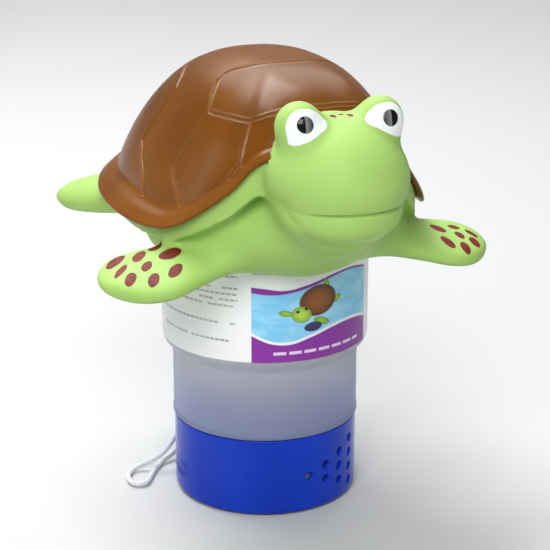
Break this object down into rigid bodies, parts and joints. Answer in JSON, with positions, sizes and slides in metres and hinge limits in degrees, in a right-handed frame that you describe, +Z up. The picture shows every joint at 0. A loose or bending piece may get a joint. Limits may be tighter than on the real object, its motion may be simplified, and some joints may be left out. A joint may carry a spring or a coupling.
{
  "type": "floating chlorine tablet dispenser",
  "caption": "Turtle-shaped pool float with a lift-and-twist plug on a translucent stepped tablet canister, a turning flow ring around its foot and a cord loop.",
  "frame": {"origin": "centre of the canister's flat foot, on its underside", "axes": "+Z up along the canister's axis, the turtle faces -Y, the turtle's left side is +X"},
  "size_m": [0.1842, 0.2294, 0.2181],
  "materials": {
    "canister_plastic": "translucent natural, satin",
    "ring_plastic": "glossy blue",
    "label_film": "printed satin film",
    "seal_rubber": "matte",
    "plug_plastic": "satin",
    "green_vinyl": "soft matte, brown printed spots",
    "brown_shell": "glossy with moulded scute lines",
    "eye_white": "satin",
    "eye_black": "glossy",
    "cord": "braided nylon"
  },
  "bodies": {
    "canister": {"canister": "canister_plastic", "label": "label_film", "tether_loop": "cord"},
    "flow_ring": {"flow_ring": "ring_plastic"},
    "seal": {"seal_ring": "seal_rubber"},
    "float": {"float_plug": "plug_plastic", "turtle_body": "green_vinyl", "carapace": "brown_shell", "eye_white_left": "eye_white", "eye_white_right": "eye_white", "pupil_left": "eye_black", "pupil_right": "eye_black"}
  },
  "joints": [
    {"name": "flow_ring_turn", "type": "hinge", "parent": "canister", "child": "flow_ring", "pos_m": [0, 0, 0.02], "axis": [0, 0, 1], "range_deg": [-48, 20]},
    {"name": "float_lift", "type": "slide", "parent": "canister", "child": "seal", "axis": [0, 0, 1], "range_m": [0, 0.08]},
    {"name": "float_twist", "type": "hinge", "parent": "seal", "child": "float", "pos_m": [0, 0, 0.13], "axis": [0, 0, 1], "range_deg": [0, 32]}
  ]
}
